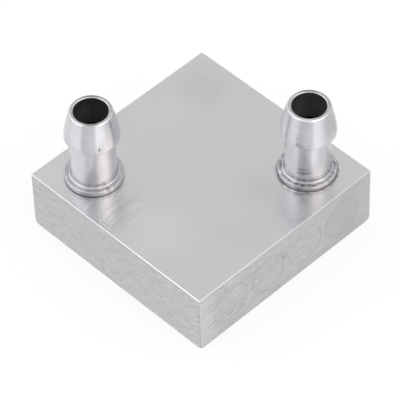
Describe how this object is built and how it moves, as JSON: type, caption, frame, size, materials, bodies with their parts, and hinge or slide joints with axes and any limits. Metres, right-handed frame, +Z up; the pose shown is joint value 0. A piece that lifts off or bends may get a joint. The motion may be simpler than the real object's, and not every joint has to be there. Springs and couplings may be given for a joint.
{
  "type": "cpu water block",
  "caption": "Square aluminium water block with two barbed hose nozzles at opposite corners of its top and round plugs that close its drilled channels.",
  "frame": {"origin": "middle of the cold face, the flat underside that lies on the processor", "axes": "+Z up from the cold face to the hose nozzles; -Y is the front face with the row of channel plugs; +X is the face with the gallery plugs; the inlet nozzle stands at -X +Y and the outlet nozzle at +X -Y"},
  "size_m": [0.04, 0.04, 0.0276],
  "materials": {
    "block_aluminium": "milled and brushed, satin",
    "plug_aluminium": "pressed in and brushed over with the face",
    "nozzle_aluminium": "turned and tumbled, soft shine"
  },
  "bodies": {
    "root": {"block_body": "block_aluminium", "channel_plug_1": "plug_aluminium", "channel_plug_2": "plug_aluminium", "channel_plug_3": "plug_aluminium", "channel_plug_4": "plug_aluminium", "gallery_plug_1": "plug_aluminium", "gallery_plug_2": "plug_aluminium", "inlet_nozzle": "nozzle_aluminium", "outlet_nozzle": "nozzle_aluminium"}
  },
  "joints": []
}
